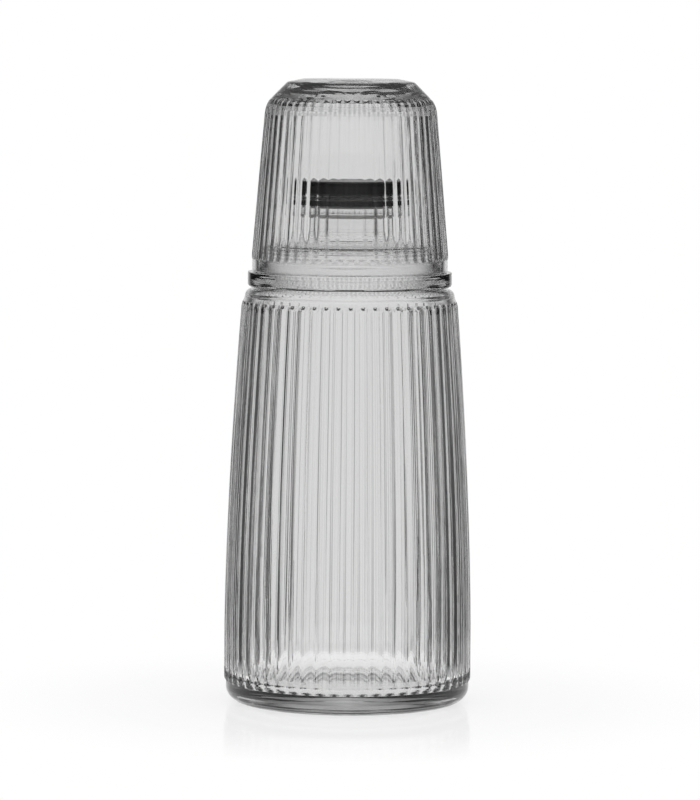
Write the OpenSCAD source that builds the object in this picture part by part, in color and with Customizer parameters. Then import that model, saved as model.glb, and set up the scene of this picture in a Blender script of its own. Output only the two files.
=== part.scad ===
// Bedside carafe with its tumbler turned over the neck, and a flat stopper under the tumbler.
// Millimetres, +Z up, origin at the centre of the resting face.

/* [Reeding] */
// Number of reeds round the carafe, and round the tumbler
rib_count = 56; // [36:4:72]
// Height of a reed over its valleys at the widest part of the carafe
rib_depth_low = 0.75; // [0.4:0.05:1.2]
// Height of a reed over its valleys at the carafe's shoulder
rib_depth_top = 0.45; // [0.3:0.05:0.9]
// Height of a reed over its valleys on the tumbler
cup_rib_depth = 0.35; // [0.2:0.05:0.8]
// Length over which a reed fades out at each end
rib_fade = 2.4; // [1.2:0.1:4]

/* [Carafe body] */
// Width of the carafe over the reeds at its widest
base_d = 100; // [94:1:120]
// Height up to which the body keeps its full width
straight_h = 28; // [15:1:50]
// Height at which the reeds end below the collar
body_h = 162.5; // [130:0.5:200]
// How late the taper sets in, 1 for a straight cone
taper_curve = 1.6; // [1.2:0.1:2]
// Thickness of the side wall in the valleys
wall = 3; // [2:0.1:4]
// Height of the smooth foot below the reeds
foot_h = 8.5; // [7:0.5:14]
// Height of the foot's rounded edge
foot_round = 6; // [4:0.5:6.5]
// Width over the face that the carafe stands on
rest_d = 81; // [78:1:90]
// Thickness of the floor over the resting face
floor_t = 5; // [4.5:0.5:9]
// Radius of the corner between the wall and the floor inside
floor_round = 3.8; // [3:0.2:9]
// Width of the hollow under the base
punt_d = 72; // [50:1:74]
// Depth of the hollow under the base
punt_h = 1.8; // [1:0.1:3]

/* [Carafe shoulder and collar] */
// Height of the smooth shoulder between the reeds and the groove
shoulder_h = 5; // [4:0.1:9]
// Radius of the shoulder's upper edge
shoulder_round = 3; // [2:0.1:3.8]
// How far the shoulder leans in below that edge
shoulder_lean = 0.6; // [0.2:0.1:1]
// How far the shoulder stands out from the collar
shoulder_step = 1.8; // [1:0.1:3]
// Height of the groove between the shoulder and the collar
groove_h = 0.8; // [0.5:0.1:2]
// Height of the collar that carries the tumbler
collar_h = 5.9; // [4:0.1:9]
// Radius of the collar's lower edge
collar_round = 1.5; // [0.8:0.1:2]
// Bevel on the collar's upper edge
collar_edge = 0.3; // [0.1:0.1:0.8]
// Width of the collar's ledge outside the tumbler's rim
ledge_w = 1.75; // [1:0.05:3]
// Length below the reeds' upper end over which the inside begins to draw in
draw_in = 4; // [2:0.5:10]

/* [Carafe neck] */
// Height of the neck over the collar's ledge, with the lip
neck_h = 30.7; // [28:0.1:38]
// Outside width of the neck
neck_d = 35.5; // [34:0.5:42]
// Bore of the neck
bore_d = 30; // [26:0.5:31]
// Height of the lip
lip_h = 8.8; // [6:0.1:10]
// How far the lip stands out from the neck
lip_out = 2.1; // [1:0.1:3]
// Radius of the lip's outer top edge
lip_round = 1.4; // [0.8:0.1:1.8]
// Radius of the lip's inner top edge
mouth_round = 1.2; // [0.6:0.1:1.6]
// Height of the step that centres the tumbler's rim
dome_step = 2.9; // [1:0.1:4]
// Radius of the dome's outer edge
dome_round = 6; // [4.5:0.5:7]
// Slope of the dome in degrees
dome_slope = 10; // [5:1:20]
// Thickness of the dome
dome_wall = 3; // [2:0.1:4]
// Radius in the corner where the dome turns up into the neck
neck_round = 7; // [4:0.5:8]

/* [Tumbler] */
// Width of the tumbler over its rim
cup_rim_d = 78.8; // [74:0.2:84]
// Height of the tumbler
cup_h = 77.6; // [72:0.1:90]
// How far the side leans in for each unit of height
cup_lean = 0.086; // [0.05:0.002:0.11]
// Height of the smooth band at the rim
cup_band = 5; // [3:0.5:10]
// Thickness of the tumbler's side wall
cup_wall = 2.3; // [1.8:0.1:3.2]
// Radius of the rim's edges
rim_round = 0.7; // [0.4:0.05:0.8]
// Height of the round between the side and the foot, with the foot
cup_shoulder_h = 15.2; // [14:0.2:18]
// Radius of that round
cup_round = 12.5; // [10:0.5:13.5]
// Radius of the foot's edge
cup_foot_round = 2.5; // [1:0.1:2.6]
// Height from the foot's edge to its standing ring
cup_foot_rise = 1.1; // [0.5:0.1:2]
// Outside width of the standing ring
cup_ring_d = 38; // [30:1:44]
// Width of the standing ring's flat
cup_ring_w = 3; // [2:0.5:5]
// Depth of the hollow under the foot
cup_punt_h = 1.2; // [0.6:0.1:2]
// Thickness of the tumbler's floor
cup_floor_t = 7; // [5:0.5:9]
// Radius of the corner between the side and the floor inside
cup_floor_round = 8; // [6:0.5:10]

/* [Stopper] */
// Width of the stopper's disc
lid_d = 39; // [37:0.5:42]
// Thickness of the disc
lid_t = 6; // [4:0.5:10]
// Radius of the disc's edges
lid_round = 1.3; // [0.8:0.1:1.8]
// Length of the plug under the disc
plug_h = 5; // [4.6:0.1:6]
// Bevel on the plug's lower edge
plug_edge = 0.4; // [0.2:0.1:0.6]
// Thickness of the sealing ring
seal_t = 2.4; // [1.8:0.1:2.6]
// Height of the sealing ring over the plug's lower end
seal_low = 0.8; // [0.7:0.1:1.2]

/* [Clearances] */
// Gap between pieces that stand on each other
seat_gap = 0.1; // [0.05:0.05:0.3]
// Gap between the tumbler's rim and the step that centres it
centring_gap = 0.6; // [0.3:0.1:1]
// Gap between the sealing ring and the bore
seal_gap = 0.05; // [0.02:0.01:0.1]
// Gap between the plug and the bore
plug_gap = 0.5; // [0.3:0.1:0.8]

/* [Hidden] */
$fn = 96;

// Extra length of a cut past the face that it opens
overrun = 1;
// How far inside the surface of the smooth wall a reeded wall's ends stay
skin = 0.05;
// How far a reeded wall's ends reach into the smooth wall
lap = 0.6;
// Straight steps in a rounded stretch of an outline
arc_steps = 8;
// Points across one reed
rib_points = 4;
// Steps along the carafe's side between the faded ends
body_steps = 7;
// Places of the rings along a faded end, as shares of its length
fade_shares = [0, 0.15, 0.45, 1];

// Carafe, from the resting face up
base_r = base_d / 2;
foot_r = base_r - rib_depth_low;
rest_r = rest_d / 2;
punt_r = punt_d / 2;
rim_r = cup_rim_d / 2;
collar_r = rim_r + ledge_w;
shoulder_r = collar_r + shoulder_step;
groove_r = shoulder_r - shoulder_lean - shoulder_round;
groove_z = body_h + shoulder_h;
collar_z = groove_z + groove_h;
ledge_z = collar_z + collar_h;
lip_z = ledge_z + neck_h;
neck_r = neck_d / 2;
bore_r = bore_d / 2;
lip_r = neck_r + lip_out;
dome_r = rim_r - cup_wall - centring_gap;

// Angle of the dome's surface where its rounds meet its slope
dome_turn = 90 - dome_slope;
dome_edge_z = ledge_z + dome_step;
// Height at which the dome has turned into the straight neck
neck_z = dome_edge_z + dome_round * sin(dome_turn) + neck_round * sin(dome_turn)
    + (dome_r - dome_round * (1 - cos(dome_turn)) - neck_r - neck_round * (1 - cos(dome_turn))) * tan(dome_slope);

// Tumbler, from its rim on the ledge up to its foot
cup_z = ledge_z + seat_gap;
cup_top_z = cup_z + cup_h;
cup_band_z = cup_z + cup_band;
cup_round_z = cup_top_z - cup_shoulder_h;
cup_floor_z = cup_top_z - cup_floor_t;
cup_turn = atan(cup_lean);
// Angles round the tumbler's shoulder at which the reeds begin to fade, end, and the foot begins
fade_turn = 26;
end_turn = 36;
foot_turn = 45;
// Angle round the foot's edge where it meets the rise to the standing ring
edge_turn = 80;
cup_crest_z = cup_round_z + cup_round * sin(cup_turn);
cup_round_x = cup_valley_r(cup_crest_z) + cup_rib_depth - cup_round * cos(cup_turn);
cup_valley_round = cup_round - cup_rib_depth;
// Centre of the foot's edge, which the slope from the shoulder meets without a corner
cup_edge_z = cup_top_z - cup_foot_rise - cup_foot_round;
cup_edge_x = cup_round_x
    + (cup_valley_round - cup_foot_round - (cup_edge_z - cup_round_z) * sin(foot_turn)) / cos(foot_turn);
cup_ring_r = cup_ring_d / 2;
cup_punt_r = cup_ring_r - cup_ring_w;
cup_corner_z = cup_floor_z - cup_floor_round;

// Stopper, from the lip up
lid_z = lip_z + seat_gap;
plug_z = lid_z - plug_h;
plug_r = bore_r - plug_gap;
seal_r = bore_r - seal_gap - seal_t / 2;
seal_z = plug_z + seal_low + seal_t / 2;
seal_seat_r = seal_r - seal_t / 2 - seal_gap;

// Outline points round a centre, from one angle to another
function arc(x, z, r, from, to) =
    [for (i = [0:arc_steps]) let (a = from + (to - from) * i / arc_steps) [x + r * cos(a), z + r * sin(a)]];

// Share of a reed's full height at a share of its faded end
function fade(share) = sqrt(1 - pow(1 - share, 2));

// Carafe's side: height of a reed, radius over the crests, and radius in the valleys at height z
function rib_depth(z) = rib_depth_low + (rib_depth_top - rib_depth_low) * (z - foot_h) / (body_h - foot_h);
function taper(z) = pow(max(0, z - straight_h) / (body_h - straight_h), taper_curve);
function crest_r(z) = base_r - (base_r - shoulder_r - rib_depth_top) * taper(z);
function valley_r(z) = crest_r(z) - rib_depth(z);

// Tumbler's side: radius in the valleys at height z
function cup_valley_r(z) = rim_r - cup_lean * (z - cup_band_z);

// A ring of a reeded wall: height, radius in the valleys, and height of the reeds
function body_ring(z, share) = [z, valley_r(z), rib_depth(z) * share];
function cup_ring(z, share) = [z, cup_valley_r(z), cup_rib_depth * share];
function cup_turn_ring(a, share) =
    [cup_round_z + cup_valley_round * sin(a), cup_round_x + cup_valley_round * cos(a), cup_rib_depth * share];

// Height of a reed's surface over the valleys across its width, 0 in the valleys and 1 on the crest
function rib_rise(i) = let (u = (i % rib_points) / rib_points) 1 - pow(2 * u - 1, 2);

// Solid with reeds all round, through a list of rings from the lowest up
module reeded(rings) {
    n = rib_count * rib_points;
    top = len(rings) - 1;
    points = concat(
        [for (ring = rings, i = [0:n - 1]) let (a = 360 * i / n, r = ring[1] + ring[2] * rib_rise(i))
            [r * cos(a), r * sin(a), ring[0]]],
        [[0, 0, rings[0][0]], [0, 0, rings[top][0]]]);
    low_centre = n * len(rings);
    sides = [for (k = [0:top - 1], i = [0:n - 1]) let (j = (i + 1) % n, a = k * n, b = a + n)
        each [[a + i, b + i, b + j], [a + i, b + j, a + j]]];
    caps = [for (i = [0:n - 1]) let (j = (i + 1) % n)
        each [[low_centre, i, j], [low_centre + 1, top * n + j, top * n + i]]];
    polyhedron(points = points, faces = concat(sides, caps));
}

// A ring at a reeded wall's end, drawn in under the smooth wall's surface and moved past the wall's end
function end_ring(ring, past = 0) = [ring[0] + past, ring[1] - skin, 0];

// Reeded side of the carafe
module carafe_side() {
    low = foot_h + rib_fade;
    high = body_h - rib_fade;
    last = len(fade_shares) - 1;
    reeded(concat(
        [end_ring(body_ring(foot_h, 0), -lap), end_ring(body_ring(foot_h, 0))],
        [for (i = [1:last]) body_ring(foot_h + rib_fade * fade_shares[i], fade(fade_shares[i]))],
        [for (i = [1:body_steps]) body_ring(low + (high - low) * i / body_steps, 1)],
        [for (i = [1:last - 1]) let (share = fade_shares[last - i]) body_ring(body_h - rib_fade * share, fade(share))],
        [end_ring(body_ring(body_h, 0)), end_ring(body_ring(body_h, 0), lap)]));
}

// Smooth foot of the carafe
module carafe_foot() {
    rotate_extrude() polygon(concat(
        [[0, 0]],
        [for (i = [0:arc_steps]) let (a = 90 * i / arc_steps)
            [rest_r + (foot_r - rest_r) * sin(a), foot_round * (1 - cos(a))]],
        [[foot_r, foot_h], [0, foot_h]]));
}

// Shoulder, groove, collar, dome, neck and lip of the carafe
module carafe_top() {
    rotate_extrude() polygon(concat(
        [[0, body_h], [shoulder_r, body_h]],
        arc(groove_r, groove_z - shoulder_round, shoulder_round, 0, 90),
        [[groove_r, collar_z]],
        arc(collar_r - collar_round, collar_z + collar_round, collar_round, -90, 0),
        [[collar_r, ledge_z - collar_edge], [collar_r - collar_edge, ledge_z], [dome_r, ledge_z]],
        arc(dome_r - dome_round, dome_edge_z, dome_round, 0, dome_turn),
        arc(neck_r + neck_round, neck_z, neck_round, 180 + dome_turn, 180),
        arc(neck_r, lip_z - lip_h + lip_out, lip_out, -90, 0),
        arc(lip_r - lip_round, lip_z - lip_round, lip_round, 0, 90),
        [[0, lip_z]]));
}

// Hollow of the carafe, open through the neck
module carafe_hollow() {
    floor_z = floor_t + floor_round;
    draw_z = body_h - draw_in;
    rotate_extrude() polygon(concat(
        [[0, floor_t]],
        arc(valley_r(floor_z) - wall - floor_round, floor_z, floor_round, -90, 0),
        [for (i = [1:body_steps]) let (z = floor_z + (draw_z - floor_z) * i / body_steps) [valley_r(z) - wall, z]],
        [for (i = [1:arc_steps]) let (s = i / arc_steps, share = s * s * (3 - 2 * s))
            [(valley_r(draw_z) - wall) * (1 - share) + (dome_r - dome_wall) * share,
                draw_z + (dome_edge_z - draw_z) * s]],
        arc(dome_r - dome_round, dome_edge_z, dome_round - dome_wall, 0, dome_turn),
        arc(neck_r + neck_round, neck_z, neck_round + neck_r - bore_r, 180 + dome_turn, 180),
        arc(bore_r + mouth_round, lip_z - mouth_round, mouth_round, 180, 90),
        [[bore_r + mouth_round, lip_z + overrun], [0, lip_z + overrun]]));
}

// Shallow hollow of a given width and depth, which opens downwards at the origin
module punt(r, h) {
    ball = (r * r + h * h) / (2 * h);
    translate([0, 0, h - ball]) sphere(r = ball);
}

// Carafe: one piece of pressed glass
module carafe() {
    color([0.72, 0.74, 0.76, 0.4]) difference() {
        union() {
            carafe_foot();
            carafe_side();
            carafe_top();
        }
        carafe_hollow();
        punt(punt_r, punt_h);
    }
}

// Smooth band at the tumbler's rim
module cup_rim() {
    rotate_extrude() polygon(concat(
        [[0, cup_z]],
        arc(rim_r - rim_round, cup_z + rim_round, rim_round, -90, 0),
        [[rim_r, cup_band_z], [0, cup_band_z]]));
}

// Reeded side of the tumbler, up over its shoulder
module cup_side() {
    last = len(fade_shares) - 1;
    lap_turn = lap / cup_valley_round * 180 / PI;
    reeded(concat(
        [end_ring(cup_ring(cup_band_z, 0), -lap), end_ring(cup_ring(cup_band_z, 0))],
        [for (i = [1:last]) cup_ring(cup_band_z + rib_fade * fade_shares[i], fade(fade_shares[i]))],
        [cup_turn_ring(cup_turn, 1), cup_turn_ring((cup_turn + fade_turn) / 2, 1)],
        [for (i = [0:last - 1]) let (share = fade_shares[last - i])
            cup_turn_ring(end_turn - (end_turn - fade_turn) * share, fade(share))],
        [end_ring(cup_turn_ring(end_turn, 0)), end_ring(cup_turn_ring(end_turn + lap_turn, 0))]));
}

// Smooth end of the tumbler's shoulder, and its foot
module cup_foot() {
    rotate_extrude() polygon(concat(
        [[0, cup_round_z + cup_valley_round * sin(end_turn)]],
        arc(cup_round_x, cup_round_z, cup_valley_round, end_turn, foot_turn),
        arc(cup_edge_x, cup_edge_z, cup_foot_round, foot_turn, edge_turn),
        [[cup_ring_r, cup_top_z], [0, cup_top_z]]));
}

// Inside of the tumbler, open at the rim
module cup_hollow() {
    mouth_r = rim_r - cup_wall;
    corner_r = cup_valley_r(cup_corner_z) - cup_wall;
    rotate_extrude() polygon(concat(
        [[0, cup_z - overrun], [mouth_r + rim_round, cup_z - overrun]],
        arc(mouth_r + rim_round, cup_z + rim_round, rim_round, -90, -180),
        [[mouth_r, cup_band_z]],
        arc(corner_r - cup_floor_round, cup_corner_z, cup_floor_round, 0, 90),
        [[0, cup_floor_z]]));
}

// Tumbler: one piece of pressed glass, upside down with its rim on the collar
module tumbler() {
    color([0.72, 0.74, 0.76, 0.4]) difference() {
        union() {
            cup_rim();
            cup_side();
            cup_foot();
        }
        cup_hollow();
        translate([0, 0, cup_top_z]) mirror([0, 0, 1]) punt(cup_punt_r, cup_punt_h);
    }
}

// Stopper's disc, which lies on the lip
module stopper_lid() {
    color([0.06, 0.06, 0.07]) rotate_extrude() polygon(concat(
        [[0, lid_z]],
        arc(lid_d / 2 - lid_round, lid_z + lid_round, lid_round, -90, 0),
        arc(lid_d / 2 - lid_round, lid_z + lid_t - lid_round, lid_round, 0, 90),
        [[0, lid_z + lid_t]]));
}

// Stopper's plug: pale plastic under the disc, with a groove that carries the sealing ring
module stopper_plug() {
    color([0.8, 0.8, 0.78]) difference() {
        rotate_extrude() polygon([[0, plug_z], [plug_r - plug_edge, plug_z], [plug_r, plug_z + plug_edge],
            [plug_r, lid_z], [0, lid_z]]);
        seal_groove();
    }
}

// Groove round the plug for the sealing ring
module seal_groove() {
    half = seal_t / 2 + seal_gap;
    rotate_extrude() translate([seal_seat_r, seal_z - half]) square([plug_r + overrun - seal_seat_r, 2 * half]);
}

// Sealing ring: a soft round ring in the plug's groove
module seal_ring() {
    color([0.09, 0.09, 0.1]) rotate_extrude() translate([seal_r, seal_z]) circle(r = seal_t / 2);
}

carafe();
tumbler();
stopper_lid();
stopper_plug();
seal_ring();
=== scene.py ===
"""Bedside carafe with a tumbler over its neck: both glasses, the stopper and a plain white studio."""

import logging
import math
from dataclasses import dataclass, field
from enum import Enum
from typing import ClassVar

import bpy
from mathutils import Euler, Matrix, Vector


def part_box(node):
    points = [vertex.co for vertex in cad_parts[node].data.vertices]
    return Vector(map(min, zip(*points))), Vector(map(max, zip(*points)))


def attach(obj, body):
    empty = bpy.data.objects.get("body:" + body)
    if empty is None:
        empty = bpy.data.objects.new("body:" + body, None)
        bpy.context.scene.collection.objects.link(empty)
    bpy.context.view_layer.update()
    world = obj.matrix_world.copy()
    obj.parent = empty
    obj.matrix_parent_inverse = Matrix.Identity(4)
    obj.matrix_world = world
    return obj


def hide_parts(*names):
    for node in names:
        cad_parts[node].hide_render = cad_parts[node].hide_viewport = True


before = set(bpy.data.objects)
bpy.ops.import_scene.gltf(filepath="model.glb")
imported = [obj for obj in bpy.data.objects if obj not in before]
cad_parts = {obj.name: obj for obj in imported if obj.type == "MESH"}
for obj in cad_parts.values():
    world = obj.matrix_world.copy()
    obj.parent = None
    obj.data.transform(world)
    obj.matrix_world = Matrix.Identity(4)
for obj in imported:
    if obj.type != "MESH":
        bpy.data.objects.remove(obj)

LOG = logging.getLogger("carafe")
WHITE = "#ffffff"

Material = bpy.types.Material
Mesh = bpy.types.Mesh
Node = bpy.types.Node
NodeTree = bpy.types.NodeTree
Object = bpy.types.Object
Socket = bpy.types.NodeSocket


def linear(colour: str) -> tuple[float, float, float, float]:
    """Turns an sRGB hex colour into linear values.

    Args:
        colour: Six hex digits after a hash, as in "#e8e8e8".

    Returns:
        Red, green, blue and an alpha of 1, all linear.
    """
    shares = [int(colour[i:i + 2], 16) / 255 for i in (1, 3, 5)]
    red, green, blue = [s / 12.92 if s <= 0.04045 else ((s + 0.055) / 1.055) ** 2.4 for s in shares]
    return red, green, blue, 1.0


def add(tree: NodeTree, kind: str, inputs: dict | None = None, **settings: object) -> Node:
    """Adds a node to a tree.

    Args:
        tree: The tree that gets the node.
        kind: The node's type name in Blender.
        inputs: For each input, by name or number, a constant or the output socket that feeds it.
        settings: The node's own properties.

    Returns:
        The new node.
    """
    node = tree.nodes.new(kind)
    for name, value in settings.items():
        setattr(node, name, value)
    for key, value in (inputs or {}).items():
        if isinstance(value, Socket):
            tree.links.new(value, node.inputs[key])
        else:
            node.inputs[key].default_value = value
    return node


def blank_material(name: str) -> tuple[Material, NodeTree]:
    """Makes a material with an empty node tree, and gives both."""
    material = bpy.data.materials.new(name)
    material.use_nodes = True
    material.node_tree.nodes.clear()
    return material, material.node_tree


def in_scene(name: str, data: bpy.types.ID) -> Object:
    """Makes an object from a mesh or a camera and links it to the scene."""
    made = bpy.data.objects.new(name, data)
    bpy.context.scene.collection.objects.link(made)
    return made


class Ray(Enum):
    """Kinds of ray, by the name of their output on a Light Path node."""

    CAMERA = "Is Camera Ray"
    GLOSSY = "Is Glossy Ray"
    TRANSMISSION = "Is Transmission Ray"


def quarter(steps: int) -> list[tuple[float, float]]:
    """Places on a quarter round in a unit square, from (0, 0), where it is upright, to (1, 1).

    Args:
        steps: Number of steps.

    Returns:
        For each place, its share of the way along and of the way up.
    """
    turns = [math.pi / 2 * i / steps for i in range(steps + 1)]
    return [(1 - math.cos(turn), math.sin(turn)) for turn in turns]


def ball_radius(radius: float, depth: float) -> float:
    """Radius of the ball of which a shallow round hollow is a part."""
    return (radius ** 2 + depth ** 2) / (2 * depth)


@dataclass
class Outline:
    """Half section of a round piece, walked with the piece's outside on the right hand.

    Attributes:
        places: Distance from the axis and height of each point, in metres.
        reeds: Height of the reeds over their valleys at each point.
        edges: Whether a sharp edge runs round the piece at each point.
        ROUND_STEP: Most degrees between two points of a round.
        LEAST_STEPS: Fewest steps of a round.
        HOLD_REACH: Distance of a holding point from the end of its stretch.
        HOLD_RATIO: How many times longer than its neighbour a stretch is before it gets one.
        HOLD_LEAST: Length of the shortest stretch that gets one, in reaches.
    """

    ROUND_STEP: ClassVar[float] = 13.0
    LEAST_STEPS: ClassVar[int] = 3
    HOLD_REACH: ClassVar[float] = 0.0004
    HOLD_RATIO: ClassVar[float] = 4.0
    HOLD_LEAST: ClassVar[float] = 3.0

    places: list[tuple[float, float]] = field(default_factory=list)
    reeds: list[float] = field(default_factory=list)
    edges: list[bool] = field(default_factory=list)

    def go(self, radius: float, height: float, reed: float = 0.0, edge: bool = False) -> None:
        """Adds one point."""
        self.places.append((radius, height))
        self.reeds.append(reed)
        self.edges.append(edge)

    def arc(self, radius: float, height: float, size: float, start: float, end: float) -> None:
        """Adds a round stretch.

        Args:
            radius: Distance of its centre from the axis.
            height: Height of its centre.
            size: Radius of the round.
            start: Angle of its first point in degrees, 0 outwards and 90 up.
            end: Angle of its last point.
        """
        steps = max(self.LEAST_STEPS, math.ceil(abs(end - start) / self.ROUND_STEP))
        for i in range(steps + 1):
            angle = math.radians(start + (end - start) * i / steps)
            self.go(radius + size * math.cos(angle), height + size * math.sin(angle))

    def held(self) -> "Outline":
        """Copies the outline with a holding point near each end of a long stretch that meets a short one.

        Such a point keeps the shading of a flat stretch flat where it meets a round, which shows in glass.

        Returns:
            The copy.
        """
        lengths = [math.dist(start, end) for start, end in zip(self.places, self.places[1:])]
        result = Outline()
        for i, length in enumerate(lengths):
            result.go(*self.places[i], self.reeds[i], self.edges[i])
            if length < self.HOLD_LEAST * self.HOLD_REACH:
                continue
            near = self.HOLD_REACH / length
            before = lengths[max(i - 1, 0)] * self.HOLD_RATIO < length
            after = lengths[min(i + 1, len(lengths) - 1)] * self.HOLD_RATIO < length
            for share in [near] * before + [1 - near] * after:
                radius, height = Vector(self.places[i]).lerp(Vector(self.places[i + 1]), share)
                result.go(radius, height, self.reeds[i] + (self.reeds[i + 1] - self.reeds[i]) * share)
        result.go(*self.places[-1], self.reeds[-1], self.edges[-1])
        return result


@dataclass(frozen=True)
class Turning:
    """How an outline is swept round the axis.

    Attributes:
        reeds: Number of reeds, or of equal sectors on a smooth piece.
        steps: Points across one reed.
        first_valley: Angle of one of the valleys, in degrees from +X.
        crest: Share of a reed's width that its round crest takes; the round valley takes the rest.
    """

    reeds: int = 56
    steps: int = 12
    first_valley: float = 0.0
    crest: float = 0.55


class TurnedSolid:
    """Geometry Nodes tree that sweeps an outline round the axis and raises the reeds on it.

    Attributes:
        MERGE: Distance at which points become one, which closes the seam and the poles.
        HALF: Half a whole number, added before rounding down or tested against for yes or no.
    """

    MERGE: ClassVar[float] = 1e-7
    HALF: ClassVar[float] = 0.5

    def __init__(self) -> None:
        """Builds the tree."""
        self.tree = bpy.data.node_groups.new("turned_solid", "GeometryNodeTree")
        sockets = (
            ("Outline", "INPUT", "NodeSocketGeometry"),
            ("Reeds", "INPUT", "NodeSocketInt"),
            ("Points per reed", "INPUT", "NodeSocketInt"),
            ("First valley", "INPUT", "NodeSocketFloat"),
            ("Crest share", "INPUT", "NodeSocketFloat"),
            ("Merge distance", "INPUT", "NodeSocketFloat"),
            ("Material", "INPUT", "NodeSocketMaterial"),
            ("Solid", "OUTPUT", "NodeSocketGeometry"),
        )
        self.names = {}
        for name, way, kind in sockets:
            socket = self.tree.interface.new_socket(name, in_out=way, socket_type=kind)
            self.names[name] = socket.identifier
        self.fill()

    def math(self, operation: str, first: object, second: object = 0.0) -> Socket:
        """Adds a Math node and gives its result."""
        return add(self.tree, "ShaderNodeMath", {0: first, 1: second}, operation=operation).outputs[0]

    def at_index(self, geometry: Socket, name: str, kind: str, index: object) -> Socket:
        """Adds nodes that read an attribute of another geometry's point, and gives what they read."""
        source = add(self.tree, "GeometryNodeInputNamedAttribute", {"Name": name}, data_type=kind)
        inputs = {"Geometry": geometry, "Value": source.outputs["Attribute"], "Index": index}
        return add(self.tree, "GeometryNodeSampleIndex", inputs, data_type=kind).outputs["Value"]

    def fill(self) -> None:
        """Adds the nodes: a grid with a row for each point of the outline, bent round the axis."""
        tree = self.tree
        given = add(tree, "NodeGroupInput")
        outline = given.outputs["Outline"]
        size = add(tree, "GeometryNodeAttributeDomainSize", {"Geometry": outline}, component="MESH")
        sectors = self.math("MULTIPLY", given.outputs["Reeds"], given.outputs["Points per reed"])
        columns = self.math("ADD", sectors, 1.0)
        inputs = {"Vertices X": size.outputs["Point Count"], "Vertices Y": columns}
        grid = add(tree, "GeometryNodeMeshGrid", inputs)
        index = add(tree, "GeometryNodeInputIndex").outputs[0]
        row = self.math("FLOOR", self.math("DIVIDE", self.math("ADD", index, self.HALF), columns))
        column = self.math("SUBTRACT", index, self.math("MULTIPLY", row, columns))
        place = add(tree, "GeometryNodeInputPosition").outputs[0]
        inputs = {"Geometry": outline, "Value": place, "Index": row}
        point = add(tree, "GeometryNodeSampleIndex", inputs, data_type="FLOAT_VECTOR").outputs["Value"]
        reed = self.at_index(outline, "reed", "FLOAT", row)
        edge = self.at_index(outline, "edge", "FLOAT", row)
        sector = self.math("DIVIDE", column, given.outputs["Points per reed"])
        share = self.math("FRACT", sector)
        across = self.math("SUBTRACT", self.math("MULTIPLY", share, 2.0), 1.0)
        rise = self.rise(self.math("ABSOLUTE", across), given.outputs["Crest share"])
        xyz = add(tree, "ShaderNodeSeparateXYZ", {0: point})
        radius = self.math("ADD", xyz.outputs["X"], self.math("MULTIPLY", reed, rise))
        turn = self.math("DIVIDE", self.math("MULTIPLY", column, 2 * math.pi), sectors)
        angle = self.math("ADD", turn, given.outputs["First valley"])
        inputs = {
            "X": self.math("MULTIPLY", radius, self.math("COSINE", angle)),
            "Y": self.math("MULTIPLY", radius, self.math("SINE", angle)),
            "Z": xyz.outputs["Z"],
        }
        swept = add(tree, "ShaderNodeCombineXYZ", inputs).outputs[0]
        marked = grid.outputs["Mesh"]
        for name, value in (("row", row), ("ring", edge)):
            inputs = {"Geometry": marked, "Name": name, "Value": value}
            marked = add(tree, "GeometryNodeStoreNamedAttribute", inputs, data_type="FLOAT").outputs[0]
        moved = add(tree, "GeometryNodeSetPosition", {"Geometry": marked, "Position": swept}).outputs[0]
        inputs = {"Geometry": moved, "Distance": given.outputs["Merge distance"]}
        closed = add(tree, "GeometryNodeMergeByDistance", inputs).outputs[0]
        flipped = add(tree, "GeometryNodeFlipFaces", {"Mesh": closed}).outputs[0]
        sharp = self.sharp_edges()
        inputs = {"Geometry": flipped, "Selection": sharp, "Shade Smooth": False}
        shaded = add(tree, "GeometryNodeSetShadeSmooth", inputs, domain="EDGE").outputs[0]
        real = add(tree, "GeometryNodeRealizeInstances", {"Geometry": shaded}).outputs[0]
        inputs = {"Geometry": real, "Material": given.outputs["Material"]}
        done = add(tree, "GeometryNodeSetMaterial", inputs).outputs[0]
        add(tree, "NodeGroupOutput", {"Solid": done})

    def rise(self, across: Socket, crest: Socket) -> Socket:
        """Adds nodes for the section of a reed: two parabolas that meet without a corner.

        Args:
            across: Distance from the crest, 1 in the valley.
            crest: Share of the width that the crest's parabola takes.

        Returns:
            Height of the surface, 0 in the valley and 1 on the crest.
        """
        on_crest = self.math("LESS_THAN", across, crest)
        top = self.math("SUBTRACT", 1.0, self.math("DIVIDE", self.math("MULTIPLY", across, across), crest))
        rest = self.math("SUBTRACT", 1.0, across)
        low = self.math("DIVIDE", self.math("MULTIPLY", rest, rest), self.math("SUBTRACT", 1.0, crest))
        lower = self.math("MULTIPLY", low, self.math("SUBTRACT", 1.0, on_crest))
        return self.math("ADD", self.math("MULTIPLY", top, on_crest), lower)

    def sharp_edges(self) -> Socket:
        """Adds nodes that pick the edges round sharp corners, and gives their choice."""
        tree = self.tree
        ends = add(tree, "GeometryNodeInputMeshEdgeVertices")
        found = {}
        for name in ("ring", "row"):
            kept = add(tree, "GeometryNodeInputNamedAttribute", {"Name": name}, data_type="FLOAT")
            found[name] = []
            for end in ends.outputs[:2]:
                inputs = {"Value": kept.outputs["Attribute"], "Index": end}
                read = add(tree, "GeometryNodeFieldAtIndex", inputs, data_type="FLOAT")
                found[name].append(read.outputs[0])
        apart = self.math("ABSOLUTE", self.math("SUBTRACT", *found["row"]))
        level = self.math("LESS_THAN", apart, self.HALF)
        corner = self.math("MULTIPLY", self.math("MULTIPLY", *found["ring"]), level)
        return self.math("GREATER_THAN", corner, self.HALF)

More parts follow.
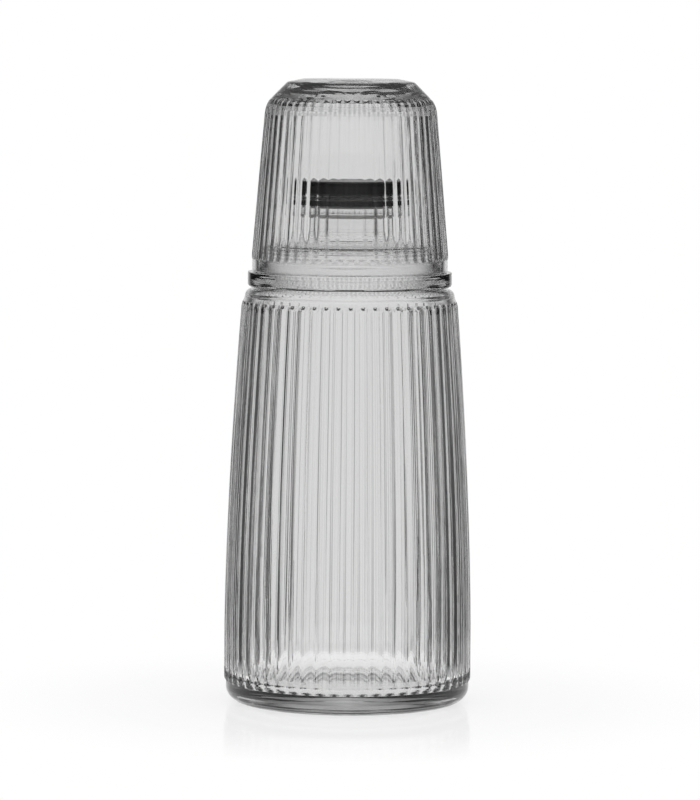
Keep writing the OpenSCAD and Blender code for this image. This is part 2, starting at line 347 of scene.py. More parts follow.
    def make(self, name: str, outline: Outline, turning: Turning, material: Material) -> Object:
        """Makes a plain mesh piece from an outline.

        Args:
            name: The piece's name.
            outline: Its half section.
            turning: How the outline is swept.
            material: Its material.

        Returns:
            The piece, at the origin, with its place in its mesh.
        """
        outline = outline.held()
        section = bpy.data.meshes.new(name + "_section")
        section.from_pydata([(r, 0.0, z) for r, z in outline.places], [], [])
        for kind, values in (("reed", outline.reeds), ("edge", outline.edges)):
            levels = [float(value) for value in values]
            section.attributes.new(kind, "FLOAT", "POINT").data.foreach_set("value", levels)
        carrier = in_scene(name + "_section", section)
        modifier = carrier.modifiers.new("turned", "NODES")
        modifier.node_group = self.tree
        sizes = {
            "Reeds": turning.reeds,
            "Points per reed": turning.steps,
            "First valley": math.radians(turning.first_valley),
            "Crest share": turning.crest,
            "Merge distance": self.MERGE,
            "Material": material,
        }
        for label, value in sizes.items():
            modifier[self.names[label]] = value
        depsgraph = bpy.context.evaluated_depsgraph_get()
        mesh = bpy.data.meshes.new_from_object(carrier.evaluated_get(depsgraph), depsgraph=depsgraph)
        mesh.name = name
        for kind in ("row", "ring"):
            mesh.attributes.remove(mesh.attributes[kind])
        bpy.data.objects.remove(carrier)
        return in_scene(name, mesh)


@dataclass(frozen=True)
class PressedGlass:
    """Clear soda-lime glass with a faint smoke tint, pressed in a mould and fire-polished.

    It gives a bright, hard surface that bends the studio into lines, and greys where the glass is thick.

    Attributes:
        name: The material's name.
        ior: Index of refraction of soda-lime glass.
        tint: Colour that the tint leaves; greyer takes more light away.
        density: Strength of the tint in each metre of glass.
        ripple: Size of the slow waves that the mould and the plunger leave.
        ripple_height: Height of those waves.
    """

    name: str
    ior: float = 1.52
    tint: str = "#808080"
    density: float = 11.0
    ripple: float = 0.015
    ripple_height: float = 0.00002

    def make(self) -> Material:
        """Makes the material."""
        material, tree = blank_material(self.name)
        place = add(tree, "ShaderNodeTexCoord").outputs["Object"]
        waves = add(tree, "ShaderNodeTexNoise", {"Vector": place, "Scale": 1 / self.ripple, "Detail": 1.0})
        inputs = {"Height": waves.outputs[0], "Distance": self.ripple_height, "Strength": 1.0}
        bump = add(tree, "ShaderNodeBump", inputs)
        inputs = {
            "Base Color": linear(WHITE),
            "Roughness": 0.0,
            "IOR": self.ior,
            "Transmission Weight": 1.0,
            "Normal": bump.outputs[0],
        }
        surface = add(tree, "ShaderNodeBsdfPrincipled", inputs)
        inputs = {"Color": linear(self.tint), "Density": self.density}
        volume = add(tree, "ShaderNodeVolumeAbsorption", inputs)
        add(tree, "ShaderNodeOutputMaterial", {"Surface": surface.outputs[0], "Volume": volume.outputs[0]})
        return material


@dataclass(frozen=True)
class MouldedPlastic:
    """Plastic or silicone from a lightly textured mould: satin, with soft highlights on round edges.

    Attributes:
        name: The material's name.
        colour: Its own colour.
        roughness: Width of its highlights.
        grain: Size of the mould's texture.
        grain_height: Height of that texture.
    """

    name: str
    colour: str
    roughness: float
    grain: float = 0.0004
    grain_height: float = 0.00001

    def make(self) -> Material:
        """Makes the material."""
        material, tree = blank_material(self.name)
        place = add(tree, "ShaderNodeTexCoord").outputs["Object"]
        grain = add(tree, "ShaderNodeTexNoise", {"Vector": place, "Scale": 1 / self.grain, "Detail": 3.0})
        inputs = {"Height": grain.outputs[0], "Distance": self.grain_height, "Strength": 1.0}
        bump = add(tree, "ShaderNodeBump", inputs)
        inputs = {"Base Color": linear(self.colour), "Roughness": self.roughness, "Normal": bump.outputs[0]}
        surface = add(tree, "ShaderNodeBsdfPrincipled", inputs)
        add(tree, "ShaderNodeOutputMaterial", {"Surface": surface.outputs[0]})
        return material


@dataclass
class Carafe:
    """Carafe: one piece of pressed glass with a reeded side, a collar for the tumbler, a dome and a neck.

    Sizes are in metres and heights are over the resting face.

    Attributes:
        FOOT_STEPS: Steps round the foot.
        FADE_STEPS: Steps in which the reeds rise at each end.
        SIDE_STEPS: Steps up the reeded side.
        WALL_STEPS: Steps down the wall inside.
        DRAW_STEPS: Steps in which the inside draws in.
        solid: Tree that sweeps the outline.
        glass: Its material.
        turning: Its reeds.
        base_radius: Greatest radius, over the reeds at the foot.
        reed_low: Height of a reed at the foot.
        reed_top: Height of a reed at the shoulder.
        fade: Length over which they rise at each end.
        foot_height: Height of the smooth foot.
        foot_radius: Radius of the smooth foot.
        foot_round: Height of its rounded edge.
        rest_radius: Outer radius of the ring that it stands on.
        straight_top: Height of the upright part.
        reeds_top: Height at which the reeds end.
        taper_power: How late the side leans in; 1 is a straight cone.
        wall: Thickness of the wall in the valleys.
        floor: Height of the floor inside.
        floor_round: Corner between the floor and the wall inside.
        punt_radius: Radius of the hollow under the base.
        punt_depth: Its depth.
        shoulder_radius: Radius over the crests at the reeds' top.
        shoulder_height: Height of the smooth shoulder.
        shoulder_round: Its rounded edge.
        shoulder_lean: How far it stands inside the crests.
        groove_height: Height of the groove under the collar.
        collar_radius: Radius of the collar.
        collar_height: Its height, up to the ledge for the tumbler.
        collar_round: Its lower edge.
        collar_edge: Its upper edge.
        draw_in: How far under the reeds' top the inside draws in.
        neck_radius: Radius of the neck.
        bore_radius: Radius of the bore.
        lip_height: Height of the lip.
        lip_out: How far the lip stands out from the neck.
        lip_round: Its upper edge.
        mouth_round: Edge between the lip and the bore.
        dome_radius: Radius of the dome.
        dome_step: Height of its upright foot over the ledge.
        dome_round: Round of its edge.
        dome_slope: Slope of its top in degrees.
        dome_wall: Its thickness.
        neck_round: Hollow round between dome and neck.
    """

    FOOT_STEPS: ClassVar[int] = 12
    FADE_STEPS: ClassVar[int] = 6
    SIDE_STEPS: ClassVar[int] = 14
    WALL_STEPS: ClassVar[int] = 9
    DRAW_STEPS: ClassVar[int] = 8

    solid: TurnedSolid
    glass: Material
    turning: Turning = Turning(reeds=56, steps=10, first_valley=0.55, crest=0.30)
    base_radius: float = 0.050
    reed_low: float = 0.00069
    reed_top: float = 0.00057
    fade: float = 0.0024
    foot_height: float = 0.0085
    foot_radius: float = 0.0493
    foot_round: float = 0.0063
    rest_radius: float = 0.0425
    straight_top: float = 0.028
    reeds_top: float = 0.1625
    taper_power: float = 1.6
    wall: float = 0.003
    floor: float = 0.0087
    floor_round: float = 0.0046
    punt_radius: float = 0.036
    punt_depth: float = 0.0025
    shoulder_radius: float = 0.04295
    shoulder_height: float = 0.005
    shoulder_round: float = 0.0031
    shoulder_lean: float = 0.0006
    groove_height: float = 0.0008
    collar_radius: float = 0.04115
    collar_height: float = 0.0059
    collar_round: float = 0.0012
    collar_edge: float = 0.0003
    draw_in: float = 0.004
    neck_radius: float = 0.01775
    bore_radius: float = 0.015
    lip_height: float = 0.0088
    lip_out: float = 0.0021
    lip_round: float = 0.0014
    mouth_round: float = 0.0012
    dome_radius: float = 0.0365
    dome_step: float = 0.0029
    dome_round: float = 0.0085
    dome_slope: float = 12.0
    dome_wall: float = 0.003
    neck_round: float = 0.005

    def reed(self, height: float) -> float:
        """Height of a reed over its valleys at a height of the side."""
        share = (height - self.foot_height) / (self.reeds_top - self.foot_height)
        return self.reed_low + (self.reed_top - self.reed_low) * share

    def valley(self, height: float) -> float:
        """Distance from the axis to the valleys at a height of the side."""
        share = max(0.0, height - self.straight_top) / (self.reeds_top - self.straight_top)
        lean = (self.base_radius - self.shoulder_radius - self.reed_top) * share ** self.taper_power
        return self.base_radius - lean - self.reed(height)

    def reeded(self, line: Outline, height: float, share: float = 1.0) -> None:
        """Adds a point of the reeded side, with its reeds at a share of their height."""
        line.go(self.valley(height), height, self.reed(height) * share)

    def lower(self, line: Outline) -> None:
        """Walks from the hollow under the base up the foot and the reeded side."""
        ball = ball_radius(self.punt_radius, self.punt_depth)
        turn = math.degrees(math.asin(self.punt_radius / ball))
        line.arc(0.0, self.punt_depth - ball, ball, 90, 90 - turn)
        line.edges[-1] = True
        width = self.foot_radius - self.rest_radius
        for up, out in quarter(self.FOOT_STEPS):
            line.go(self.rest_radius + width * out, self.foot_round * up)
        for up, share in quarter(self.FADE_STEPS):
            height = self.foot_height + self.fade * up
            radius = self.foot_radius + (self.valley(height) - self.foot_radius) * share
            line.go(radius, height, self.reed(height) * share)
        low = self.foot_height + self.fade
        high = self.reeds_top - self.fade
        for i in range(1, self.SIDE_STEPS):
            self.reeded(line, low + (high - low) * i / self.SIDE_STEPS)
        for down, share in reversed(quarter(self.FADE_STEPS)):
            self.reeded(line, self.reeds_top - self.fade * down, share)

    def upper(self, line: Outline) -> None:
        """Walks over the shoulder, the groove, the collar, the dome and the neck to the mouth."""
        groove_radius = self.shoulder_radius - self.shoulder_lean - self.shoulder_round
        groove = self.reeds_top + self.shoulder_height
        collar = groove + self.groove_height
        ledge = self.ledge_height()
        line.arc(groove_radius, groove - self.shoulder_round, self.shoulder_round, 0, 90)
        line.go(groove_radius, collar)
        size = self.collar_round
        line.arc(self.collar_radius - size, collar + size, size, -90, 0)
        line.arc(self.collar_radius - self.collar_edge, ledge - self.collar_edge, self.collar_edge, 0, 90)
        line.go(self.dome_radius, ledge, edge=True)
        turn = 90 - self.dome_slope
        dome = self.dome_radius - self.dome_round
        line.arc(dome, ledge + self.dome_step, self.dome_round, 0, turn)
        corner = self.neck_radius + self.neck_round
        line.arc(corner, self.neck_height(), self.neck_round, 180 + turn, 180)
        lip = self.mouth_height()
        line.arc(self.neck_radius, lip - self.lip_height + self.lip_out, self.lip_out, -90, 0)
        rim = self.neck_radius + self.lip_out - self.lip_round
        line.arc(rim, lip - self.lip_round, self.lip_round, 0, 90)
        line.arc(self.bore_radius + self.mouth_round, lip - self.mouth_round, self.mouth_round, 90, 180)

    def inside(self, line: Outline) -> None:
        """Walks down the bore and the inside wall to the middle of the floor."""
        turn = 90 - self.dome_slope
        ledge = self.ledge_height()
        corner = self.neck_radius + self.neck_round
        line.arc(corner, self.neck_height(), corner - self.bore_radius, 180, 180 + turn)
        dome = self.dome_radius - self.dome_round
        dome_height = ledge + self.dome_step
        line.arc(dome, dome_height, self.dome_round - self.dome_wall, turn, 0)
        start = self.reeds_top - self.draw_in
        wide = self.valley(start) - self.wall
        narrow = self.dome_radius - self.dome_wall
        for i in reversed(range(self.DRAW_STEPS)):
            share = i / self.DRAW_STEPS
            # An even S-curve, flat at both ends
            ease = share * share * (3 - 2 * share)
            line.go(wide + (narrow - wide) * ease, start + (dome_height - start) * share)
        low = self.floor + self.floor_round
        for i in reversed(range(1, self.WALL_STEPS)):
            height = low + (start - low) * i / self.WALL_STEPS
            line.go(self.valley(height) - self.wall, height)
        line.arc(self.valley(low) - self.wall - self.floor_round, low, self.floor_round, 0, -90)
        line.go(0.0, self.floor)

    def ledge_height(self) -> float:
        """Height of the ledge that the tumbler stands on."""
        return self.reeds_top + self.shoulder_height + self.groove_height + self.collar_height

    def mouth_height(self) -> float:
        """Height of the mouth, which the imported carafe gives."""
        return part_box("carafe")[1].z

    def neck_height(self) -> float:
        """Height at which the dome has turned into the straight neck."""
        turn = math.radians(90 - self.dome_slope)
        slope = math.tan(math.radians(self.dome_slope))
        rounds = (self.dome_round + self.neck_round) * math.sin(turn)
        across = (self.dome_round + self.neck_round) * (1 - math.cos(turn))
        flat = self.dome_radius - self.neck_radius - across
        return self.ledge_height() + self.dome_step + rounds + flat * slope

    def make(self) -> Object:
        """Builds the carafe and gives its piece."""
        line = Outline()
        self.lower(line)
        self.upper(line)
        self.inside(line)
        piece = self.solid.make("carafe_glass", line, self.turning, self.glass)
        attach(piece, "carafe")
        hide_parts("carafe")
        return piece


@dataclass
class Tumbler:
    """Tumbler: one piece of pressed glass, upside down with its rim on the carafe's ledge.

    Sizes are in metres. Its foot is at the top.

    Attributes:
        FADE_STEPS: Steps in which the reeds rise at each end.
        SIDE_STEPS: Steps up the reeded side.
        SHOULDER_STEPS: Steps round the reeded part of the shoulder.
        solid: Tree that sweeps the outline.
        glass: Its material.
        turning: Its reeds.
        rim_radius: Radius of the smooth band at the rim.
        rim_round: Half the thickness of the rim's edge.
        wall: Thickness of the wall in the valleys.
        lean: Lean of the side, as a slope.
        band: Height of the smooth band.
        reed: Height of the reeds.
        fade: Length over which they rise.
        shoulder_height: Distance from the foot to the shoulder's centre.
        shoulder_round: Round of the shoulder, over the crests.
        fade_turn: Degrees round the shoulder at which they begin to sink.
        end_turn: Degrees at which they end.
        foot_turn: Degrees at which the slope to the foot begins.
        foot_round: Round of the foot's edge.
        foot_rise: How far the standing ring stands over that edge.
        edge_turn: Degrees round that edge at which the ring begins.
        ring_radius: Outer radius of the standing ring.
        ring_width: Its width.
        punt_depth: Depth of the hollow inside it.
        floor: Thickness of the floor.
        floor_round: Corner between the floor and the wall inside.
        low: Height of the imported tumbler's rim.
        top: Height of its foot.
    """

    FADE_STEPS: ClassVar[int] = 6
    SIDE_STEPS: ClassVar[int] = 10
    SHOULDER_STEPS: ClassVar[int] = 6

    solid: TurnedSolid
    glass: Material
    turning: Turning = Turning(reeds=56, steps=10, first_valley=0.80, crest=0.50)
    rim_radius: float = 0.0394
    rim_round: float = 0.0007
    wall: float = 0.0025
    lean: float = 0.086
    band: float = 0.005
    reed: float = 0.00036
    fade: float = 0.0024
    shoulder_height: float = 0.0152
    shoulder_round: float = 0.0125
    fade_turn: float = 26.0
    end_turn: float = 36.0
    foot_turn: float = 45.0
    foot_round: float = 0.0023
    foot_rise: float = 0.0011
    edge_turn: float = 80.0
    ring_radius: float = 0.0189
    ring_width: float = 0.003
    punt_depth: float = 0.00115
    floor: float = 0.0085
    floor_round: float = 0.0079
    low: float = field(init=False)
    top: float = field(init=False)

    def __post_init__(self) -> None:
        """Takes the rim's and the foot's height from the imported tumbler."""
        low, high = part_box("tumbler")
        self.low = low.z
        self.top = high.z

    def shoulder(self) -> tuple[float, float, float]:
        """Centre of the shoulder's round, as its distance from the axis and its height, and its radius."""
        start = math.radians(self.side_turn())
        height = self.top - self.shoulder_height
        crest = height + self.shoulder_round * math.sin(start)
        centre = self.valley(crest) + self.reed - self.shoulder_round * math.cos(start)
        return centre, height, self.shoulder_round - self.reed

    def side_turn(self) -> float:
        """Lean of the side in degrees, at which the shoulder's round begins."""
        return math.degrees(math.atan(self.lean))

    def valley(self, height: float) -> float:
        """Distance from the axis to the valleys at a height of the side."""
        return self.rim_radius - self.lean * (height - self.low - self.band)

    def make(self) -> Object:
        """Builds the tumbler and gives its piece."""
        line = Outline()
        self.inside(line)
        self.outside(line)
        self.foot(line)
        piece = self.solid.make("tumbler_glass", line, self.turning, self.glass)
        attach(piece, "tumbler")
        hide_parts("tumbler")
        return piece

    def inside(self, line: Outline) -> None:
        """Walks from the middle of the floor down the inside to the rim."""
        floor = self.top - self.floor
        corner = floor - self.floor_round
        radius = self.valley(corner) - self.wall
        line.go(0.0, floor)
        line.arc(radius - self.floor_round, corner, self.floor_round, 90, 0)
        line.go(self.rim_radius - self.wall, self.low + self.band)
        mouth = self.rim_radius - self.wall
        line.arc(mouth + self.rim_round, self.low + self.rim_round, self.rim_round, 180, 270)

    def outside(self, line: Outline) -> None:
        """Walks from the rim up the reeded side and round the shoulder to where the foot begins."""
        line.arc(self.rim_radius - self.rim_round, self.low + self.rim_round, self.rim_round, -90, 0)
        band = self.low + self.band
        for up, share in quarter(self.FADE_STEPS):
            height = band + self.fade * up
            line.go(self.valley(height), height, self.reed * share)
        start = self.side_turn()
        centre, shoulder, size = self.shoulder()
        low_height = band + self.fade
        high_height = shoulder + size * math.sin(math.radians(start))
        for i in range(1, self.SIDE_STEPS):
            height = low_height + (high_height - low_height) * i / self.SIDE_STEPS
            line.go(self.valley(height), height, self.reed)
        turns = []
        for i in range(self.SHOULDER_STEPS):
            turns.append((start + (self.fade_turn - start) * i / self.SHOULDER_STEPS, 1.0))
        for back, share in reversed(quarter(self.FADE_STEPS)):
            turns.append((self.end_turn - (self.end_turn - self.fade_turn) * back, share))
        for turn, share in turns:
            angle = math.radians(turn)
            line.go(centre + size * math.cos(angle), shoulder + size * math.sin(angle), self.reed * share)
        line.arc(centre, shoulder, size, self.end_turn, self.foot_turn)

    def foot(self, line: Outline) -> None:
        """Walks over the foot and its standing ring to the middle of the hollow inside the ring."""
        centre, shoulder, size = self.shoulder()
        turn = math.radians(self.foot_turn)
        edge = self.top - self.foot_rise - self.foot_round
        inward = (size - self.foot_round - (edge - shoulder) * math.sin(turn)) / math.cos(turn)
        line.arc(centre + inward, edge, self.foot_round, self.foot_turn, self.edge_turn)
        line.go(self.ring_radius, self.top)
        punt = self.ring_radius - self.ring_width
        line.go(punt, self.top)
        ball = ball_radius(punt, self.punt_depth)
        turn = math.degrees(math.asin(punt / ball))
        line.arc(0.0, self.top - self.punt_depth + ball, ball, turn - 90, -90)


@dataclass
class Stopper:
    """Stopper: a black disc on the lip, a pale plug under it in the bore, and a black ring round the plug.

    Attributes:
        solid: Tree that sweeps an outline.
        black: Material of the disc.
        pale: Material of the plug.
        rubber: Material of the ring.
        turning: Even sectors, with no reeds.
        edge_round: Round of the disc's edges.
        groove_width: Width of each fine line round the disc.
        groove_depth: Depth of each fine line.
        groove_shares: Heights of the lines as shares of the disc's.
        bore_radius: Radius of the bore that the ring is pressed against.
        squeeze: How far the ring reaches into the glass, so that no gap shows.
        seal_width: Width of the pressed ring.
        seal_round: Round of its edges.
    """

    solid: TurnedSolid
    black: Material
    pale: Material
    rubber: Material
    turning: Turning = Turning(reeds=96, steps=1)
    edge_round: float = 0.0013
    groove_width: float = 0.0004
    groove_depth: float = 0.0002
    groove_shares: tuple[float, float] = (0.2, 0.72)
    bore_radius: float = 0.015
    squeeze: float = 0.00002
    seal_width: float = 0.0016
    seal_round: float = 0.0003

    def disc(self) -> Object:
        """Builds the disc, with two fine lines round its rim."""
        low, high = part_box("stopper_lid")
        radius = high.x
        line = Outline()
        line.go(0.0, low.z)
        rim = radius - self.edge_round
        line.arc(rim, low.z + self.edge_round, self.edge_round, -90, 0)
        for share in self.groove_shares:
            middle = low.z + (high.z - low.z) * share
            line.go(radius, middle - self.groove_width / 2)
            line.go(radius - self.groove_depth, middle)
            line.go(radius, middle + self.groove_width / 2)
        line.arc(rim, high.z - self.edge_round, self.edge_round, 0, 90)
        line.go(0.0, high.z)
        return self.place(line, "stopper_lid", "stopper_disc", self.black)

    def seal(self) -> Object:
        """Builds the sealing ring as it sits in the bore, squeezed flat against the glass."""
        low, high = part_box("seal_ring")
        outer = self.bore_radius + self.squeeze
        inner = outer - self.seal_width
        size = self.seal_round
        outer_x = outer - size
        inner_x = inner + size
        floor = low.z + size
        ceiling = high.z - size
        line = Outline()
        corners = ((outer_x, floor), (outer_x, ceiling), (inner_x, ceiling), (inner_x, floor))
        for i, (radius, height) in enumerate(corners):
            line.arc(radius, height, size, 90 * i - 90, 90 * i)
        line.go(*line.places[0])
        return self.place(line, "seal_ring", "stopper_seal", self.rubber)

    def place(self, line: Outline, node: str, name: str, material: Material) -> Object:
        """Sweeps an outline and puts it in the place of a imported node."""
        piece = self.solid.make(name, line, self.turning, material)
        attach(piece, "stopper")
        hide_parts(node)
        return piece

    def make(self) -> list[Object]:
        """Builds the disc and the ring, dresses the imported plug, and gives the built pieces."""
        pieces = [self.disc(), self.seal()]
        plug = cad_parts["stopper_plug"]
        plug.data.materials.clear()
        plug.data.materials.append(self.pale)
        return pieces


@dataclass(frozen=True)
class TentRow:
    """Levels of the light tent at one height, the same to the left and the right.

    Attributes:
        rise: Degrees over the horizon.
        stops: Degrees from straight behind the object and the level there, where 1 is white.
    """

    rise: float
    stops: tuple[tuple[float, float], ...]


@dataclass
class Studio:
    """White studio: a plain floor, an even surround, a light tent and the camera of the reference view.

    Attributes:
        FLOOR_SIDES: Sides of the round floor.
        BOUNCES: Times that light may pass through or bounce off glass.
        world_level: Strength of the surround's light on matt surfaces.
        floor_white: Share of plain white near the object; the rest shows shadow and mirror image.
        floor_roughness: Softness of the floor's mirror image.
        floor_radius: Radius of the floor.
        floor_near: Distance from the axis at which it begins to turn plain white.
        floor_far: Distance at which it is.
        floor_drop: Gap between the floor and the resting face.
        image_height: Height of the picture in pixels.
        sensor: Width of the camera's sensor.
        clip_near: Least distance that the camera sees.
        clip_far: Greatest distance.
        focal_pixels: Focal length in pixels.
        distance: Distance of the camera from the axis.
        camera_height: Height of the camera.
        aim_height: Height that it looks at.
        aim_side: Its shift to the side.
        roll: Its roll in degrees.
        tent_radius: Radius of the light tent.
        tent_middle: Height of its centre.
        tent_step: Degrees between its points.
        tent_rows: Its levels.
    """

    FLOOR_SIDES: ClassVar[int] = 64
    BOUNCES: ClassVar[int] = 24

    world_level: float = 1.15
    floor_white: float = 0.66
    floor_roughness: float = 0.1
    floor_radius: float = 1.5
    floor_near: float = 0.10
    floor_far: float = 0.16
    floor_drop: float = 0.0002
    image_height: int = 800
    sensor: float = 0.036
    clip_near: float = 0.05
    clip_far: float = 20.0
    focal_pixels: float = 4592.0
    distance: float = 1.85
    camera_height: float = 0.275
    aim_height: float = 0.1223
    aim_side: float = 0.0004
    roll: float = 0.385
    tent_radius: float = 10.0
    tent_middle: float = 0.12
    tent_step: float = 1.5
    tent_rows: tuple[TentRow, ...] = (
        TentRow(-60, ((0, 0.9), (40, 0.8), (110, 0.8))),
        TentRow(-25, ((0, 0.75), (10, 0.6), (20, 0.55), (32, 0.42), (45, 0.38), (75, 0.45), (180, 0.7))),
        TentRow(-9, (
            (0, 0.78), (10, 0.78), (18, 0.64), (27, 0.4), (32, 0.02), (60, 0.02), (75, 0.2), (180, 0.6),
        )),
        TentRow(-1, (
            (0, 0.78), (18, 0.78), (25, 0.46), (30, 0.05), (46, 0.05), (54, 0.12), (64, 0.05), (80, 0.3),
        )),
        TentRow(6, (
            (0, 0.78), (8, 0.7), (14, 0.5), (22, 0.32), (32, 0.05), (60, 0.0), (130, 0.0), (180, 0.2),
        )),
        TentRow(18, ((0, 0.9), (8, 0.5), (16, 0.32), (36, 0.3), (55, 0.15), (75, 0.05))),
        TentRow(34, ((0, 0.8), (10, 0.5), (20, 0.4), (33, 0.4), (50, 0.3), (75, 0.15))),
        TentRow(70, ((0, 0.9), (60, 0.8), (180, 0.6))),
    )

    def any_of(self, tree: NodeTree, rays: tuple[Ray, ...]) -> Socket:
        """Adds nodes that give 1 for a ray of one of the given kinds."""
        path = add(tree, "ShaderNodeLightPath")
        result = path.outputs[rays[0].value]
        for ray in rays[1:]:
            inputs = {0: result, 1: path.outputs[ray.value]}
            result = add(tree, "ShaderNodeMath", inputs, operation="MAXIMUM").outputs[0]
        return result

    def surround(self) -> None:
        """Makes the even white world."""
        world = bpy.data.worlds.new("white_surround")
        bpy.context.scene.world = world
        world.use_nodes = True
        tree = world.node_tree
        tree.nodes.clear()
        seen = self.any_of(tree, (Ray.CAMERA, Ray.GLOSSY, Ray.TRANSMISSION))
        white = add(tree, "ShaderNodeBackground", {"Color": linear(WHITE), "Strength": 1.0})
        inputs = {"Color": linear(WHITE), "Strength": self.world_level}
        light = add(tree, "ShaderNodeBackground", inputs)
        mix = add(tree, "ShaderNodeMixShader", {0: seen, 1: light.outputs[0], 2: white.outputs[0]})
        add(tree, "ShaderNodeOutputWorld", {"Surface": mix.outputs[0]})

    def floor(self) -> None:
        """Makes the plain pale floor, which keeps the object's shadow and a soft mirror image near it."""
        mesh = bpy.data.meshes.new("floor")
        corners = []
        for i in range(self.FLOOR_SIDES):
            turn = 2 * math.pi * i / self.FLOOR_SIDES
            corner = self.floor_radius * Vector((math.cos(turn), math.sin(turn), 0.0))
            corners.append(corner - Vector((0.0, 0.0, self.floor_drop)))
        mesh.from_pydata(corners, [], [tuple(range(self.FLOOR_SIDES))])
        floor = in_scene("floor", mesh)
        material, tree = blank_material("white_floor")
        seen = self.any_of(tree, (Ray.CAMERA, Ray.GLOSSY))
        inputs = {"Base Color": linear(WHITE), "Roughness": self.floor_roughness}
        sheet = add(tree, "ShaderNodeBsdfPrincipled", inputs)
        white = add(tree, "ShaderNodeEmission", {"Color": linear(WHITE), "Strength": 1.0})
        place = add(tree, "ShaderNodeTexCoord").outputs["Object"]
        away = add(tree, "ShaderNodeVectorMath", {0: place}, operation="LENGTH").outputs["Value"]
        inputs = {"Value": away, "From Min": self.floor_near, "From Max": self.floor_far}
        far = add(tree, "ShaderNodeMapRange", inputs).outputs[0]
        inputs = {"Value": far, "To Min": self.floor_white, "To Max": 1.0}
        level = add(tree, "ShaderNodeMapRange", inputs).outputs[0]
        share = add(tree, "ShaderNodeMath", {0: seen, 1: level}, operation="MULTIPLY")
        inputs = {0: share.outputs[0], 1: sheet.outputs[0], 2: white.outputs[0]}
        mix = add(tree, "ShaderNodeMixShader", inputs)
        # Far from the object, glass and gloss see the tent's lower half instead of the floor
        through = self.any_of(tree, (Ray.GLOSSY, Ray.TRANSMISSION))
        gone = add(tree, "ShaderNodeMath", {0: far, 1: through}, operation="MULTIPLY").outputs[0]
        clear = add(tree, "ShaderNodeBsdfTransparent")
        whole = add(tree, "ShaderNodeMixShader", {0: gone, 1: mix.outputs[0], 2: clear.outputs[0]})
        add(tree, "ShaderNodeOutputMaterial", {"Surface": whole.outputs[0]})
        mesh.materials.append(material)

    @staticmethod
    def between(stops: tuple[tuple[float, float], ...], place: float) -> float:
        """Reads a level between the stops next to a place; the end stops hold beyond them."""
        if place <= stops[0][0]:
            return stops[0][1]
        for (start, first), (end, last) in zip(stops, stops[1:]):
            if place <= end:
                return first + (last - first) * (place - start) / (end - start)
        return stops[-1][1]

    def tent_level(self, turn: float, rise: float) -> float:
        """Level of the tent in one direction.

        Args:
            turn: Degrees to either side of straight behind the object.
            rise: Degrees over the horizon.

        Returns:
            The level, where 1 is white.
        """
        column = tuple((row.rise, self.between(row.stops, turn)) for row in self.tent_rows)
        return self.between(column, rise)

    def tent_mesh(self) -> Mesh:
        """Makes the tent's mesh, a sphere with a level at each point."""
        columns = round(360 / self.tent_step)
        rows = round(180 / self.tent_step)
        points = []
        levels = []
        for i in range(rows + 1):
            rise = i * self.tent_step - 90
            for k in range(columns):
                turn = k * self.tent_step - 180
                ahead = Vector((0.0, self.tent_radius, 0.0))
                ahead.rotate(Euler((math.radians(rise), 0.0, math.radians(turn))))
                points.append(ahead + Vector((0.0, 0.0, self.tent_middle)))
                levels.append(self.tent_level(abs(turn), rise))
        faces = []
        for i in range(rows):
            for k in range(columns):
                low = i * columns
                after = (k + 1) % columns
                faces.append((low + k, low + after, low + columns + after, low + columns + k))
        mesh = bpy.data.meshes.new("light_tent")
        mesh.from_pydata(points, [], faces)
        mesh.attributes.new("level", "FLOAT", "POINT").data.foreach_set("value", levels)
        return mesh

    def tent(self, camera: Object, seat: Matrix) -> None:
        """Makes the light tent that glass and gloss see: a bright screen behind, dark flags and grey sides.

        It is carried by the camera, as on a set where the object stands on a turntable, so that each view
        has this light.

        Args:
            camera: The camera that carries it.
            seat: The camera's place in the reference view.
        """
        tent = in_scene("light_tent", self.tent_mesh())
        tent.parent = camera
        tent.matrix_parent_inverse = seat.inverted()
        material, tree = blank_material("tent_cloth")
        level = add(tree, "ShaderNodeAttribute", attribute_name="level").outputs["Fac"]
        glow = add(tree, "ShaderNodeEmission", {"Color": linear(WHITE), "Strength": level})
        add(tree, "ShaderNodeOutputMaterial", {"Surface": glow.outputs[0]})
        tent.data.materials.append(material)
        tent.visible_camera = False
        tent.visible_diffuse = False
        tent.visible_shadow = False
        tent.visible_volume_scatter = False

    def camera(self) -> tuple[Object, Matrix]:
        """Makes the camera of the reference view, and gives it and its place."""
        data = bpy.data.cameras.new("camera")
        data.sensor_width = self.sensor * 1000
        data.lens = self.focal_pixels / self.image_height * data.sensor_width
        data.clip_start = self.clip_near
        data.clip_end = self.clip_far
        camera = in_scene("camera", data)
        eye = Vector((self.aim_side, -self.distance, self.camera_height))
        aim = Vector((self.aim_side, 0.0, self.aim_height))
        turn = (aim - eye).to_track_quat("-Z", "Y").to_matrix().to_4x4()
        roll = Matrix.Rotation(math.radians(self.roll), 4, "Z")
        seat = Matrix.Translation(eye) @ turn @ roll
        camera.matrix_world = seat
        bpy.context.scene.camera = camera
        return camera, seat

    def make(self) -> None:
        """Sets up the studio."""
        camera, seat = self.camera()
        self.surround()
        self.floor()
        self.tent(camera, seat)
        scene = bpy.context.scene
        scene.view_settings.view_transform = "Standard"
        scene.cycles.max_bounces = self.BOUNCES
        scene.cycles.transmission_bounces = self.BOUNCES
        scene.cycles.glossy_bounces = self.BOUNCES // 2


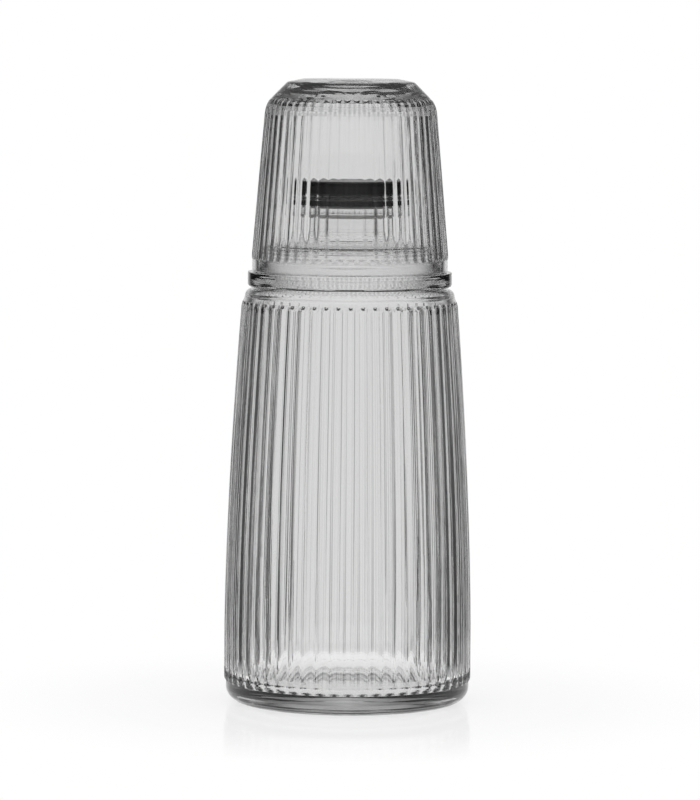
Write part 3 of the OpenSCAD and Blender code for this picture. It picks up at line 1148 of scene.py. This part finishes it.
def main() -> None:
    """Builds every piece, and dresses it."""
    logging.basicConfig(level=logging.INFO, format="%(message)s")
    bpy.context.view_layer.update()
    Studio().make()
    solid = TurnedSolid()
    carafe_glass = PressedGlass(name="pressed_glass_carafe").make()
    tumbler_glass = PressedGlass(name="pressed_glass_tumbler").make()
    # Gloss-moulded ABS: a deep black with narrow highlights
    black = MouldedPlastic(name="black_abs", colour="#161617", roughness=0.25).make()
    # Polypropylene without pigment: a soft off-white
    pale = MouldedPlastic(name="natural_polypropylene", colour="#dcdcd8", roughness=0.4).make()
    # Silicone rubber: the same black, matt
    rubber = MouldedPlastic(name="black_silicone", colour="#101011", roughness=0.5).make()
    pieces = [
        Carafe(solid, carafe_glass).make(),
        Tumbler(solid, tumbler_glass).make(),
        *Stopper(solid, black, pale, rubber).make(),
    ]
    for piece in pieces:
        LOG.info("%s: %d faces", piece.name, len(piece.data.polygons))


if __name__ == "__main__":
    main()
